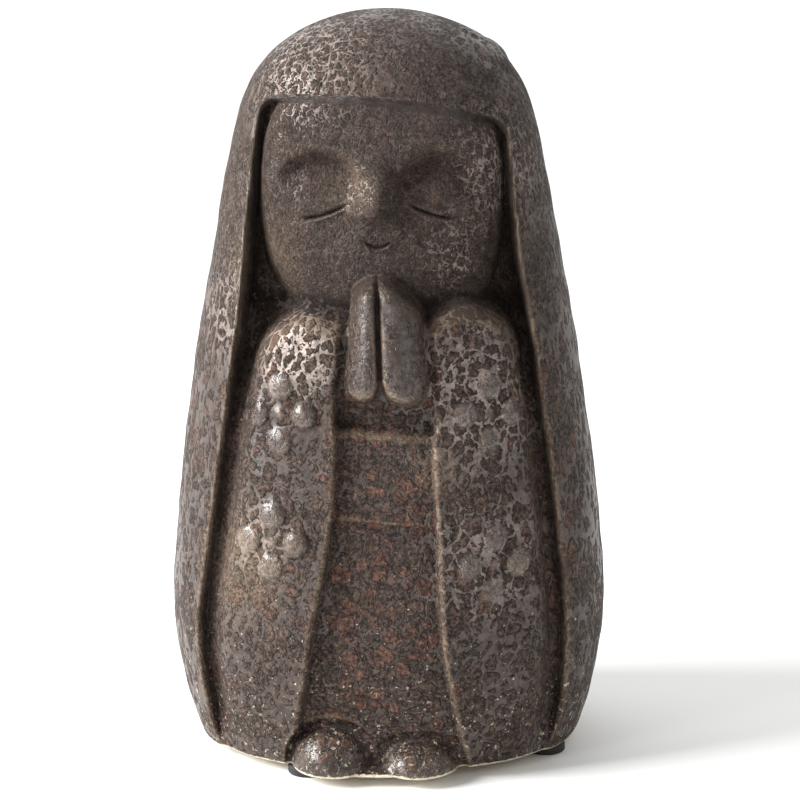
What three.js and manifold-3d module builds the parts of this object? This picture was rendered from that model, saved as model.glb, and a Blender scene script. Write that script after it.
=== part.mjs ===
// A praying goddess figurine: one slip-cast stoneware body on four stick-on rubber pads.
// Millimetres, +Z up, the face looks along -Y, the origin is on the table under the middle.
import * as THREE from 'three';
import { mergeVertices } from 'three/addons/utils/BufferGeometryUtils.js';
import Module from 'manifold-3d';

// Whole figure
const HEIGHT = 186;
const WIDTH = 110.4;
const DEPTH = 94;
const PAD_HEIGHT = 2.5;
const PAD_RADIUS = 5;
const PAD_INSET = 4;
const PAD_TURN = -25;
const PAD_SIDES = 24;
const RIM_BEVEL = 1.5;

// Outline of the mantle of hair: widest height, half-widths at the base and where the dome starts
const WIDEST_Z = 40;
const BASE_HALF = 48.4;
const DOME_Z = 150;
const DOME_HALF = 39.2;
const FLANK_POWER = 1.4;
const TUCK_POWER = 2.2;
const DOME_POWER = 3.5;
const SECTION_POWER = 2.2;

// Opening of the hair over face and robe
const NECK_Z = 122;
const NECK_RATIO = 0.735;
const BROW_FLARE = 0.06;
const FOOT_FLARE = 0.105;
const FLARE_POWER = 1.3;
const FRINGE_Z = 164.5;
const FRINGE_PEAK = -14;
const FRINGE_BEND = 0.0033;
const FRINGE_CORNER = 2.5;
const LIP_ROLL = 2.4;
const LIP_WALL = 0.4;
const GROOVE_DEPTH = 6;
const GROOVE_FOOT = 0.3;
const GROOVE_RUN = 12;
const POCKET_DEPTH = 9;
const POCKET_Z = 120;
const POCKET_SPAN = 34;
const POCKET_LEAST = 0.6;
const POCKET_IN = 16;
const POCKET_RUN = 8;

// Lean of the carving: one way at the hem, the other at the chest, and back at the face
const LEAN = 1.2;
const LEAN_LOW_Z = 30;
const LEAN_RUN = 40;
const LEAN_BACK = 1.5;
const LEAN_BACK_Z = 112;
const LEAN_BACK_RUN = 20;

// Face
const FACE_Z = 141;
const FACE_HALF = 30;
const FACE_UP = 33;
const FACE_DOWN = 40;
const FACE_ROOT = 8;
const FACE_RISE = 24;
const FACE_POWER = 2.7;
const CHIN_POWER = 2.1;
const FACE_DOME = 4;
const LID_X = 13.6;
const LID_Z = 137.6;
const LID_HALF = 9.4;
const LID_TALL = 10;
const LID_EDGE = 1;
const SOCKET_X = 14.2;
const SOCKET_Z = 145;
const SOCKET_HALF = 10.8;
const SOCKET_TALL = 9.2;
const SOCKET_SINK = 3.2;
const SOCKET_EDGE = 0.6;
const NOSE_TOP = 153;
const NOSE_TIP = 140;
const NOSE_END = 136;
const NOSE_RISE = 5.4;
const NOSE_HALF = 5;
const NOSE_BRIDGE = 0.8;
const NOSE_RIDGE = 1.8;
const NOSE_SLOPE = 0.55;
const NOSE_FILL = 0.5;

// Eye lines and smile, cut as tapered grooves
const EYE_INNER = 6.7;
const EYE_OUTER = 18.8;
const EYE_LOW_Z = 137.3;
const EYE_RISE = 3.9;
const EYE_BEND = 1.8;
const SMILE_HALF = 3.5;
const SMILE_Z = 130.5;
const SMILE_RISE = 1.7;
const LINE_DEEP = 0.9;
const LINE_TALL = 0.5;
const LINE_TAPER = 0.7;

// Robe: two wide front panels over a recessed skirt with a sash
const ROBE_GAP = 2.9;
const ROBE_ROLL = 4.6;
const ROBE_SET = 1;
const SHOULDER_Z = 101;
const SHOULDER_ROUND = 16.5;
const SHOULDER_TILT = 0.07;
const NECK_DIP = 2.5;
const NECK_ROLL = 6.5;
const NECK_HALF = 8;
const NECK_RUN = 12;
const PANEL_HALF = 11;
const PANEL_NARROW_Z = 88;
const PANEL_FLARE = 0.0042;
const PANEL_FLARE_POWER = 1.75;
const PANEL_STEP = 3.2;
const PANEL_ROLL = 1.8;
const SASH_TOP = 87;
const SASH_BOTTOM = 64.7;
const SASH_SLOPE = -0.085;
const SASH_RISE = 0.8;
const SASH_EDGE = 1;
const UNDERCUT = 4.5;
const VALLEY_DEPTH = 2.4;
const VALLEY_WIDE = 1.5;

// Flowers on the panels, and the larger one pinned in the hair
const PANEL_FLOWERS = [
  { across: 25.2, height: 91.2, slope: 0 },
  { across: 27, height: 57.7, slope: -0.1 },
];
const FLOWER_RING = 6.4;
const PETAL_ROUND = 3.4;
const PETAL_RISE = 2;
const BUTTON_ROUND = 1.9;
const PETAL_WEAR = [1, 0.75, 0.7, 0.55];
const BUTTON_WEAR = 0.45;
const FAR_WEAR = 0.7;
const HAIR_FLOWER_Z = 176.5;
const HAIR_FLOWER_TURN = -14;
const HAIR_FLOWER_RING = 4.6;
const HAIR_PETAL_ROUND = 4.2;
const HAIR_PETAL_RISE = 0.9;

// Hands, palms together: reach of the left and right hand from the line between them, at heels and tips
const HAND_BOTTOM = 92.5;
const HAND_TOP = 124.6;
const HAND_HEELS = [10.3, 12.3];
const HAND_TIPS = [6, 10.6];
const HAND_SPLIT = -0.1;
const HAND_LEAN = -0.035;
const HAND_PROUD = 3.8;
const HAND_SEAT = 8.5;
const HAND_SQUARE = 3;
const HAND_TIP_ROUND = 0.08;
const HAND_ROLL = 4.5;
const HAND_MIDDLE = 0.42;

// Toe caps under the hem
const FOOT_X = 10.5;
const FOOT_SHIFT = -1.8;
const FOOT_HALF = 10.4;
const FOOT_TALL = [11.6, 8.4];
const FOOT_ROOT = 33;
const FOOT_SQUARE = 2.3;
const HEM_GAP = 1.8;
const SOLE_TALL = 2.4;
const SOLE_REACH = 45.5;

// Facets: columns across each strip of half the front, columns round the back, rows up each level
const FRONT_STRIPS = [5, 1, 4, 3, 1, 2, 4];
const BACK_COLUMNS = 12;
const LOBE_COLUMNS = 14;
const LOBE_ROWS = 8;
const HAND_COLUMNS = 12;
const HAND_ROWS = 11;
const GROOVE_COLUMNS = 8;
const PETAL_COLUMNS = 8;
const PETAL_ROWS = 5;
const CROWN_ROWS = 7;

const SETTLE_PASSES = 8;
const SETTLE_SHARE = 0.7;
const ROLL_POWER = 2.2;
const BLEND = 1;
const TINY = 1e-6;
const GLAZE = { color: 0x4b413c, roughness: 0.45, metalness: 0 };
const RUBBER = { color: 0x17171a, roughness: 0.8, metalness: 0 };

const clamp01 = (t) => Math.min(Math.max(t, 0), 1);
const mix = (a, b, t) => a + (b - a) * t;
const smooth = (t) => clamp01(t) ** 2 * (3 - 2 * clamp01(t));
const rolled = (t) => 1 - (1 - clamp01(t)) ** ROLL_POWER;
const mound = (u, v) => Math.max(1 - u * u - v * v, 0) ** 2;
const radians = (degrees) => (degrees * Math.PI) / 180;

function smoothMax(a, b, blend = BLEND) {
  const near = Math.max(blend - Math.abs(a - b), 0) / blend;
  return Math.max(a, b) + (near * near * blend) / 4;
}

// Half-width of the mantle at height z: a barrel that tucks in at the base and closes in a dome.
function halfWidth(z) {
  const widest = WIDTH / 2;
  const taper = (widest - DOME_HALF) / (DOME_Z - WIDEST_Z) ** FLANK_POWER;
  const tuck = (widest - BASE_HALF) / (WIDEST_Z - PAD_HEIGHT) ** TUCK_POWER;
  const above = Math.max(z - WIDEST_Z, 0) ** FLANK_POWER;
  const below = Math.max(WIDEST_Z - z, 0) ** TUCK_POWER;
  const rise = clamp01((z - DOME_Z) / (HEIGHT - DOME_Z));
  const dome = Math.sqrt(1 - rise ** DOME_POWER);
  return (widest - taper * above - tuck * below) * dome;
}

// Distance of the mantle's surface from the middle plane, the same in front and behind.
function mantle(x, z) {
  const w = halfWidth(z);
  const across = clamp01(Math.abs(x) / Math.max(w, TINY)) ** SECTION_POWER;
  return (DEPTH / WIDTH) * w * (1 - across) ** (1 / SECTION_POWER);
}

// Half-width of the opening in the hair, narrowest at the neck.
function lipHalf(z) {
  const up = clamp01((z - NECK_Z) / (FRINGE_Z - NECK_Z));
  const down = clamp01((NECK_Z - z) / (NECK_Z - PAD_HEIGHT));
  return halfWidth(z) * (NECK_RATIO + BROW_FLARE * up ** 2 + FOOT_FLARE * down ** FLARE_POWER);
}

// Sideways lean of the carving at x and z, none at the mantle's outline.
function sway(x, z) {
  const chest = 2 * smooth((z - LEAN_LOW_Z) / LEAN_RUN) - 1;
  const back = LEAN_BACK * smooth((z - LEAN_BACK_Z) / LEAN_BACK_RUN);
  const inner = 1 - clamp01(Math.abs(x) / Math.max(halfWidth(z), TINY)) ** 2;
  return LEAN * (chest - back) * inner;
}

const bent = (x, z) => x - sway(x, z);
const unbent = (u, z) => u + sway(u, z);
const fringe = (x) => FRINGE_Z - FRINGE_BEND * (x - FRINGE_PEAK) ** 2;
const robeHalf = (z) => lipHalf(z) - ROBE_GAP;
const shoulderX = robeHalf(SHOULDER_Z) - SHOULDER_ROUND;
const neck = (side) => 1 - smooth((side - NECK_HALF) / NECK_RUN);

function panelInner(z) {
  const flare = Math.max(PANEL_NARROW_Z - z, 0) ** PANEL_FLARE_POWER;
  return PANEL_HALF + PANEL_FLARE * flare;
}

// Line between the palms, and the reach of the hand on one side of it.
const palmLine = (z) => HAND_SPLIT + HAND_LEAN * (z - (HAND_BOTTOM + HAND_TOP) / 2);

function handReach(z, side) {
  const k = side < 0 ? 0 : 1;
  return mix(HAND_HEELS[k], HAND_TIPS[k], clamp01((z - HAND_BOTTOM) / (HAND_TOP - HAND_BOTTOM)));
}

// Floor of the opening: a groove beside the robe, shallowest at the base, deepest beside the neck.
function openingFloor(x, z) {
  const beside = mix(POCKET_LEAST, 1, smooth((Math.abs(x) - POCKET_IN) / POCKET_RUN));
  const pocket = beside * mound((z - POCKET_Z) / POCKET_SPAN, 0);
  const groove = GROOVE_DEPTH * mix(GROOVE_FOOT, 1, smooth((z - PAD_HEIGHT) / GROOVE_RUN));
  return Math.max(mantle(x, z) - groove - POCKET_DEPTH * pocket, 0);
}

// Hair with a rolled lip round the opening.
function hair(x, z) {
  const side = Math.abs(bent(x, z)) - (lipHalf(z) - LIP_WALL) + FRINGE_CORNER;
  const top = z - fringe(x) + FRINGE_CORNER;
  const corner = Math.hypot(Math.max(side, 0), Math.max(top, 0));
  const outside = corner + Math.min(Math.max(side, top), 0) - FRINGE_CORNER;
  return mix(openingFloor(x, z), mantle(x, z), rolled(outside / LIP_ROLL));
}

// Lower edge of the face at x, level with the eyes beyond its sides.
function jaw(x) {
  const across = clamp01(Math.abs(x / FACE_HALF)) ** CHIN_POWER;
  return FACE_Z - FACE_DOWN * (1 - across) ** (1 / CHIN_POWER);
}

// Upper edge of the shoulders at x.
function shoulder(x) {
  const out = Math.min(Math.max(Math.abs(x) - shoulderX, 0), SHOULDER_ROUND);
  const base = SHOULDER_Z + SHOULDER_TILT * x - NECK_DIP * neck(Math.abs(x));
  return base + Math.sqrt(SHOULDER_ROUND ** 2 - out ** 2);
}

// Height of a closed eye's line at a distance from the middle of the face.
function eyeHeight(side) {
  const run = clamp01((side - EYE_INNER) / (EYE_OUTER - EYE_INNER));
  return EYE_LOW_Z + EYE_RISE * (1 - run) ** EYE_BEND;
}

// Face: a rounded dome with brow hollows above the lids and a nose.
function face(x, z) {
  const u = bent(x, z);
  const side = Math.abs(u);
  const dz = z - FACE_Z;
  const tall = dz > 0 ? FACE_UP : FACE_DOWN;
  const power = mix(CHIN_POWER, FACE_POWER, smooth(0.5 + dz / FACE_DOWN));
  const out = (side / FACE_HALF) ** power + Math.abs(dz / tall) ** power;
  if (out >= 1) {
    return 0;
  }
  const hollow = 1 - ((side - SOCKET_X) / SOCKET_HALF) ** 2 - ((z - SOCKET_Z) / SOCKET_TALL) ** 2;
  const ball = 1 - ((side - LID_X) / LID_HALF) ** 2 - ((z - LID_Z) / LID_TALL) ** 2;
  const brow = smooth((z - EYE_LOW_Z - EYE_RISE) / SOCKET_TALL) * (1 - smooth(ball / LID_EDGE));
  const socket = SOCKET_SINK * brow * smooth(hollow / SOCKET_EDGE);
  const down = clamp01((NOSE_TOP - z) / (NOSE_TOP - NOSE_TIP));
  const past = Math.max((NOSE_TIP - z) / (NOSE_TIP - NOSE_END), 0);
  const wide = NOSE_HALF * mix(NOSE_BRIDGE, 1, down);
  const away = Math.hypot(u, wide * past, NOSE_RIDGE) - NOSE_RIDGE;
  const nose = NOSE_RISE * down ** NOSE_SLOPE * smoothMax(1 - away / wide, 0, NOSE_FILL);
  return FACE_ROOT + FACE_RISE * (1 - out) ** (1 / FACE_DOME) - socket + nose;
}

// Robe: rolled in from the groove beside it, stepped down between the panels, with a sash.
function robe(x, z) {
  const u = bent(x, z);
  const side = Math.abs(u);
  const over = Math.max(z - SHOULDER_Z - SHOULDER_TILT * u + NECK_DIP * neck(side), 0);
  const turned = SHOULDER_ROUND - Math.hypot(Math.max(side - shoulderX, 0), over);
  const upper = turned / mix(ROBE_ROLL, NECK_ROLL, neck(side));
  const inside = over > 0 ? upper : (robeHalf(z) - side) / ROBE_ROLL;
  const open = 1 - smooth((z - SASH_TOP) / (HAND_BOTTOM + HAND_ROLL - SASH_TOP));
  const fromPanel = (side - panelInner(z)) / PANEL_ROLL;
  const step = PANEL_STEP * (1 - rolled(fromPanel));
  const level = z - SASH_SLOPE * x;
  const sash = smooth((level - SASH_BOTTOM) / SASH_EDGE) * smooth((SASH_TOP - level) / SASH_EDGE);
  const under = UNDERCUT * smooth((level - SASH_TOP) / SASH_EDGE);
  const skirt = (1 - smooth(fromPanel)) * (SASH_RISE * sash - under) - step;
  const palm = x - palmLine(z);
  const beyond = Math.max(Math.abs(palm) - handReach(z, palm), 0);
  const valley = VALLEY_DEPTH * Math.exp(-((beyond / VALLEY_WIDE) ** 2)) * (1 - open);
  const top = mantle(x, z) - ROBE_SET + skirt * open - valley;
  return mix(openingFloor(x, z), top, rolled(inside));
}

// Distance of the carved front from the middle plane.
function front(x, z) {
  return smoothMax(smoothMax(hair(x, z), face(x, z)), robe(x, z));
}

// Lines that the rows of facets follow, each with its height over x, and the rows up to it.
const narrow = (x) => Math.min(Math.max(x, -PANEL_HALF), PANEL_HALF);
const sashLine = (height) => (x) => height + SASH_SLOPE * narrow(x);
const shoulderLine = (x) => Math.max(shoulder(x), SHOULDER_Z + 2 * SASH_EDGE);
const jawLine = (x) => Math.max(Math.min(jaw(x), FACE_Z - LID_TALL), shoulderLine(x) + 2 * SASH_EDGE);
const ROW_LINES = [
  [() => PAD_HEIGHT + RIM_BEVEL, 1],
  [sashLine(SASH_BOTTOM), 9],
  [sashLine(SASH_BOTTOM + SASH_EDGE), 1],
  [sashLine(SASH_TOP - SASH_EDGE), 2],
  [sashLine(SASH_TOP + SASH_EDGE), 2],
  [(x) => shoulderLine(x) - ROBE_ROLL / 2, 5],
  [shoulderLine, 2],
  [jawLine, 3],
  [(x) => jawLine(x) + ROBE_ROLL / 2, 2],
  [(x) => fringe(x) - 2 * SASH_EDGE, 17],
  [fringe, 1],
  [(x) => fringe(x) + LIP_ROLL, 2],
];

// Place of one column at height z, as the strip it lies in and its share of that strip.
function columnPlace(z, strip, share, sign) {
  const w = halfWidth(z);
  const squeeze = Math.min(w / DOME_HALF, 1);
  const hands = Math.abs(bent(palmLine(z) + sign * handReach(z, sign), z));
  const near = (z < HAND_BOTTOM ? panelInner(z) : hands) * squeeze;
  const lip = lipHalf(z);
  const lines = [
    0,
    near,
    near + PANEL_ROLL * squeeze,
    lip - (ROBE_GAP + ROBE_ROLL) * squeeze,
    lip - ROBE_GAP * squeeze,
    lip - LIP_WALL * squeeze,
    lip + (LIP_ROLL - LIP_WALL) * squeeze,
  ];
  if (strip < lines.length - 1) {
    return unbent(sign * mix(lines[strip], lines[strip + 1], share), z);
  }
  const rim = unbent(sign * lines[strip], z) / w;
  return w * sign * Math.cos(Math.acos(clamp01(sign * rim)) * (1 - share));
}

const COLUMNS = FRONT_STRIPS.flatMap((count, strip) =>
  Array.from({ length: count }, (_, k) => [strip, k / count]),
);
COLUMNS.push([FRONT_STRIPS.length - 1, 1]);

// Rows from the rim to the fringe as functions of x, then the crown.
function rowFunctions() {
  let below = () => PAD_HEIGHT;
  const rows = [below];
  for (const [line, count] of ROW_LINES) {
    const from = below;
    for (let k = 1; k <= count; k += 1) {
      rows.push((x) => mix(from(x), line(x), k / count));
    }
    below = line;
  }
  const span = HEIGHT - DOME_Z;
  for (let k = 1; k < CROWN_ROWS; k += 1) {
    rows.push((x) => {
      const start = ((below(x) - DOME_Z) / span) ** DOME_POWER;
      const angle = mix(Math.asin(Math.sqrt(start)), Math.PI / 2, k / CROWN_ROWS);
      return DOME_Z + span * Math.sin(angle) ** (2 / DOME_POWER);
    });
  }
  return rows;
}

// A point of the front on a row and a column, found by letting the two settle on each other.
function frontPoint(row, strip, share, sign, inset) {
  let x = 0;
  let z = row(0);
  for (let pass = 0; pass < SETTLE_PASSES; pass += 1) {
    x = mix(x, columnPlace(z, strip, share, sign), pass ? SETTLE_SHARE : 1);
    z = row(x);
  }
  x = columnPlace(z, strip, share, sign);
  const keep = 1 - inset / halfWidth(z);
  return new THREE.Vector3(x * keep, -front(x, z) * keep, z);
}

function ring(row, inset) {
  const right = COLUMNS.map(([strip, share]) => frontPoint(row, strip, share, 1, inset));
  const left = COLUMNS.slice(1).map(([strip, share]) => frontPoint(row, strip, share, -1, inset));
  const points = left.reverse().concat(right);
  const from = points[points.length - 1].z;
  const to = points[0].z;
  for (let k = 1; k < BACK_COLUMNS; k += 1) {
    const turn = (k * Math.PI) / BACK_COLUMNS;
    const z = mix(from, to, (1 - Math.cos(turn)) / 2);
    const x = halfWidth(z) * Math.cos(turn);
    const keep = 1 - inset / halfWidth(z);
    points.push(new THREE.Vector3(x * keep, mantle(x, z) * keep, z));
  }
  return points;
}

const wasm = await Module();
wasm.setup();

const apart = (from, to) => from.distanceTo(to);

// How far the middle of an edge across the front lies from the carved surface.
function offSurface(from, to) {
  const middle = from.clone().lerp(to, 0.5);
  return middle.y < 0 ? Math.abs(middle.y + front(middle.x, middle.z)) : apart(from, to);
}

// A closed solid from rings of points, each end drawn together at a point of its own.
// Each four-sided facet is split along the edge that misses the wanted surface least.
function solidOfRings(rings, first, last, miss) {
  const columns = rings[0].length;
  const points = rings.flat();
  const start = points.push(first) - 1;
  const end = points.push(last) - 1;
  const faces = [];
  for (let column = 0; column < columns; column += 1) {
    const next = (column + 1) % columns;
    faces.push(start, next, column);
    for (let row = 0; row < rings.length - 1; row += 1) {
      const a = row * columns + column;
      const b = row * columns + next;
      const c = b + columns;
      const d = a + columns;
      if (miss(points[a], points[c]) <= miss(points[b], points[d])) {
        faces.push(a, b, c, a, c, d);
      } else {
        faces.push(a, b, d, b, c, d);
      }
    }
    const top = (rings.length - 1) * columns;
    faces.push(top + column, top + next, end);
  }
  const mesh = new wasm.Mesh({
    numProp: 3,
    vertProperties: new Float32Array(points.flatMap((p) => p.toArray())),
    triVerts: new Uint32Array(faces),
  });
  return new wasm.Manifold(mesh);
}

function body() {
  const rings = rowFunctions().map((row, k) => ring(row, k === 0 ? RIM_BEVEL : 0));
  const foot = new THREE.Vector3(0, 0, PAD_HEIGHT);
  return solidOfRings(rings, foot, new THREE.Vector3(0, 0, HEIGHT), offSurface);
}

// A rounded bar along a path; section gives its middle, its reach to either side and its depth.
function bar(section, across, along, rows, columns) {
  const rings = [];
  for (let row = 0; row < rows; row += 1) {
    const { middle, wide, deep } = section((1 - Math.cos((Math.PI * (row + 0.5)) / rows)) / 2);
    const points = [];
    for (let column = 0; column < columns; column += 1) {
      const turn = (2 * Math.PI * column) / columns;
      const reach = wide[Math.cos(turn) < 0 ? 0 : 1];
      const point = middle.clone().addScaledVector(across, reach * Math.cos(turn));
      points.push(point.addScaledVector(along, deep * Math.sin(turn)));
    }
    rings.push(points);
  }
  return solidOfRings(rings, section(0).middle, section(1).middle, apart);
}

const X = new THREE.Vector3(1, 0, 0);
const Y = new THREE.Vector3(0, 1, 0);
const Z = new THREE.Vector3(0, 0, 1);

// One hand: a bar that narrows to rounded finger tips, leaning back with the chest.
function hand(side) {
  const thick = (HAND_SEAT + HAND_PROUD) * Math.sqrt(1 - HAND_MIDDLE ** 2);
  const section = (t) => {
    const z = mix(HAND_BOTTOM, HAND_TOP, t);
    const end = (1 - Math.abs(2 * t - 1) ** (2 * HAND_SQUARE)) ** (1 / HAND_SQUARE);
    const reach = Math.min(handReach(z, side), Math.sqrt((HAND_TOP - z) / HAND_TIP_ROUND));
    const half = (1 - HAND_MIDDLE) * reach * end;
    const x = palmLine(z) + side * HAND_MIDDLE * reach;
    const middle = new THREE.Vector3(x, HAND_SEAT - mantle(0, z), z);
    return { middle, wide: [half, half], deep: thick * end };
  };
  return bar(section, X, Y, HAND_ROWS, HAND_COLUMNS);
}

// Half a dome that stands on the base, reaching forward in front of its root and a little behind it.
function dome(x, half, tall, reach, back) {
  const rings = [];
  const middle = (t) => new THREE.Vector3(x, -FOOT_ROOT, PAD_HEIGHT + tall * t);
  for (let row = 0; row < LOBE_ROWS; row += 1) {
    const t = Math.sin((Math.PI / 2) * (row / LOBE_ROWS));
    const end = (1 - t ** FOOT_SQUARE) ** (1 / FOOT_SQUARE);
    const points = [];
    for (let column = 0; column < LOBE_COLUMNS; column += 1) {
      const turn = (2 * Math.PI * column) / LOBE_COLUMNS;
      const run = Math.sin(turn) > 0 ? back : (reach - FOOT_ROOT) * end;
      const point = middle(t).addScaledVector(X, half * end * Math.cos(turn));
      points.push(point.addScaledVector(Y, run * Math.sin(turn)));
    }
    rings.push(points);
  }
  return solidOfRings(rings, middle(0), middle(1), apart);
}

const FEET = FOOT_TALL.map((tall, k) => ({ x: FOOT_SHIFT + (k ? FOOT_X : -FOOT_X), tall }));
const toe = ({ x, tall }) => dome(x, FOOT_HALF, tall, DEPTH / 2, FOOT_HALF);
const arch = ({ x, tall }) => dome(x, FOOT_HALF + HEM_GAP, tall + HEM_GAP, DEPTH, HEM_GAP);
const sole = () => dome(FOOT_SHIFT, FOOT_X + FOOT_HALF, SOLE_TALL, SOLE_REACH, FOOT_HALF);

// Outward, level and upward directions of the mantle at a point in front of it.
function surfaceFrame(x, z) {
  const step = 0.5;
  const dx = (mantle(x + step, z) - mantle(x - step, z)) / (2 * step);
  const dz = (mantle(x, z + step) - mantle(x, z - step)) / (2 * step);
  const out = new THREE.Vector3(-dx, -1, -dz).normalize();
  const level = Z.clone().cross(out).normalize();
  return { out, level, up: out.clone().cross(level) };
}

// A petal: a flattened ball whose middle lies in the surface.
function petal(middle, frame, round, rise) {
  const ball = new THREE.SphereGeometry(1, PETAL_COLUMNS, PETAL_ROWS);
  const level = frame.level.clone().multiplyScalar(round);
  const out = frame.out.clone().multiplyScalar(rise);
  const down = frame.up.clone().multiplyScalar(-round);
  ball.applyMatrix4(new THREE.Matrix4().makeBasis(level, out, down).setPosition(middle));
  ball.deleteAttribute('normal');
  ball.deleteAttribute('uv');
  const merged = mergeVertices(ball);
  const mesh = new wasm.Mesh({
    numProp: 3,
    vertProperties: new Float32Array(merged.attributes.position.array),
    triVerts: new Uint32Array(merged.index.array),
  });
  return new wasm.Manifold(mesh);
}

// Petals round a point of the mantle, each laid on the surface under it, set back by sunk.
function flower(x, z, ringRound, round, rise, sunk, button) {
  const petals = [];
  const frame = surfaceFrame(x, z);
  const lay = (u, v) => {
    const px = x + frame.level.x * u + frame.up.x * v;
    const pz = z + frame.level.z * u + frame.up.z * v;
    const own = surfaceFrame(px, pz);
    const middle = new THREE.Vector3(px, -mantle(px, pz), pz).addScaledVector(own.out, -sunk);
    return { middle, own };
  };
  PETAL_WEAR.forEach((wear, k) => {
    const turn = (k * 2 * Math.PI) / PETAL_WEAR.length;
    const { middle, own } = lay(ringRound * Math.cos(turn), ringRound * Math.sin(turn));
    petals.push(petal(middle, own, round, wear * rise));
  });
  const heart = lay(0, 0);
  petals.push(petal(heart.middle, heart.own, button, BUTTON_WEAR * rise));
  return petals;
}

// A groove cut along an arc of the face: place across and height of the arc for t from 0 to 1.
function faceLine(arc) {
  const section = (t) => {
    const [u, z] = arc(t);
    const x = unbent(u, z);
    const end = Math.sqrt(Math.max(1 - (2 * t - 1) ** 2, 0)) ** LINE_TAPER;
    const middle = new THREE.Vector3(x, -face(x, z), z);
    return { middle, wide: [LINE_DEEP * end, LINE_DEEP * end], deep: LINE_TALL * end };
  };
  return bar(section, Y, Z, LOBE_ROWS, GROOVE_COLUMNS);
}

function eyeLine(side) {
  return faceLine((t) => {
    const out = mix(EYE_INNER, EYE_OUTER, side < 0 ? 1 - t : t);
    return [side * out, eyeHeight(out)];
  });
}

function smile() {
  return faceLine((t) => {
    const share = 2 * t - 1;
    return [SMILE_HALF * share, SMILE_Z + SMILE_RISE * share * share];
  });
}

function figureGeometry() {
  const cuts = [...FEET.map(arch), eyeLine(-1), eyeLine(1), smile()];
  const adds = [hand(-1), hand(1), ...FEET.map(toe), sole()];
  for (const side of [-1, 1]) {
    for (const { across, height, slope } of PANEL_FLOWERS) {
      const z = height + slope * side * across;
      const x = unbent(side * across, z);
      const rise = PETAL_RISE * (side < 0 ? 1 : FAR_WEAR);
      adds.push(...flower(x, z, FLOWER_RING, PETAL_ROUND, rise, ROBE_SET, BUTTON_ROUND));
    }
  }
  const w = halfWidth(HAIR_FLOWER_Z) * Math.cos(radians(HAIR_FLOWER_TURN));
  const pinned = [HAIR_FLOWER_RING, HAIR_PETAL_ROUND, HAIR_PETAL_RISE, 0, BUTTON_ROUND];
  adds.push(...flower(w, HAIR_FLOWER_Z, ...pinned));
  const carved = cuts.reduce((sum, part) => sum.subtract(part), body());
  const solid = adds.reduce((sum, part) => sum.add(part), carved);
  const mesh = solid.getMesh();
  const geometry = new THREE.BufferGeometry();
  geometry.setAttribute('position', new THREE.BufferAttribute(new Float32Array(mesh.vertProperties), 3));
  geometry.setIndex(new THREE.BufferAttribute(new Uint32Array(mesh.triVerts), 1));
  geometry.computeVertexNormals();
  return geometry;
}

const group = new THREE.Group();

const figure = new THREE.Mesh(figureGeometry(), new THREE.MeshStandardMaterial(GLAZE));
figure.name = 'figure';
group.add(figure);

const rubber = new THREE.MeshStandardMaterial(RUBBER);
const padNames = ['pad_front_right', 'pad_back_right', 'pad_back_left', 'pad_front_left'];
padNames.forEach((name, k) => {
  const turn = radians(PAD_TURN + 90 * k);
  const disc = new THREE.CylinderGeometry(PAD_RADIUS, PAD_RADIUS, PAD_HEIGHT, PAD_SIDES);
  const x = (BASE_HALF - PAD_INSET) * Math.cos(turn);
  const y = (BASE_HALF * (DEPTH / WIDTH) - PAD_INSET) * Math.sin(turn);
  const pad = new THREE.Mesh(disc, rubber);
  pad.position.set(x, y, PAD_HEIGHT / 2);
  pad.rotation.x = Math.PI / 2;
  pad.name = name;
  group.add(pad);
});

export default group;
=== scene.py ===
"""A praying goddess figurine: mottled stoneware glaze over carved forms, on four rubber pads."""

import math
from types import SimpleNamespace

import bpy
import numpy as np
from bpy.props import FloatProperty
from bpy.props import FloatVectorProperty
from bpy.props import PointerProperty
from mathutils import Matrix
from mathutils import Vector


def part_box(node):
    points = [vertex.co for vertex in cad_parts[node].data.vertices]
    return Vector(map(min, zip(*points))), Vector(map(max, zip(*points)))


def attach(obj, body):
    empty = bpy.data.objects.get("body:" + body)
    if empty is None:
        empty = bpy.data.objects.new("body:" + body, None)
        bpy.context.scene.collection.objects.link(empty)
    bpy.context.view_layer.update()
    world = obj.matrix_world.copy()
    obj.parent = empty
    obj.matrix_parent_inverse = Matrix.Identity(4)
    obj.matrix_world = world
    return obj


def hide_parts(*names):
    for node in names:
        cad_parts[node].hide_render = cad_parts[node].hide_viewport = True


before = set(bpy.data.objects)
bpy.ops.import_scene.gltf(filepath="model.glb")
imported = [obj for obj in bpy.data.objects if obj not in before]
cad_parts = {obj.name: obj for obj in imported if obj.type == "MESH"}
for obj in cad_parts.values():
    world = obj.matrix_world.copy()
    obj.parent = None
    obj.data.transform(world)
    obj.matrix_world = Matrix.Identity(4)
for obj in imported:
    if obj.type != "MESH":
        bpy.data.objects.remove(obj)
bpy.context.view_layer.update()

bl_info = {
    "name": "Praying goddess figurine",
    "version": (1, 0, 0),
    "blender": (4, 5, 0),
    "location": "3D View > Sidebar > Figurine",
    "description": "Builds a glazed stoneware figurine with its pads and stage",
    "category": "Object",
}

# The figure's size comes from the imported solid. Carving is in millimetres on a figure 186 mm tall.
FIGURE_LOW, FIGURE_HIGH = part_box("figure")
DESIGN_HEIGHT = 186.0
DESIGN_WIDTH = 110.4
DESIGN_DEPTH = 94.0
MM = FIGURE_HIGH.z / DESIGN_HEIGHT
HEIGHT = FIGURE_HIGH.z / MM
WIDTH = (FIGURE_HIGH.x - FIGURE_LOW.x) / MM
BASE_Z = FIGURE_LOW.z / MM
DEPTH = DESIGN_DEPTH * WIDTH / DESIGN_WIDTH
PAD_NAMES = sorted(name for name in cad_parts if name.startswith("pad_"))

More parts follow.
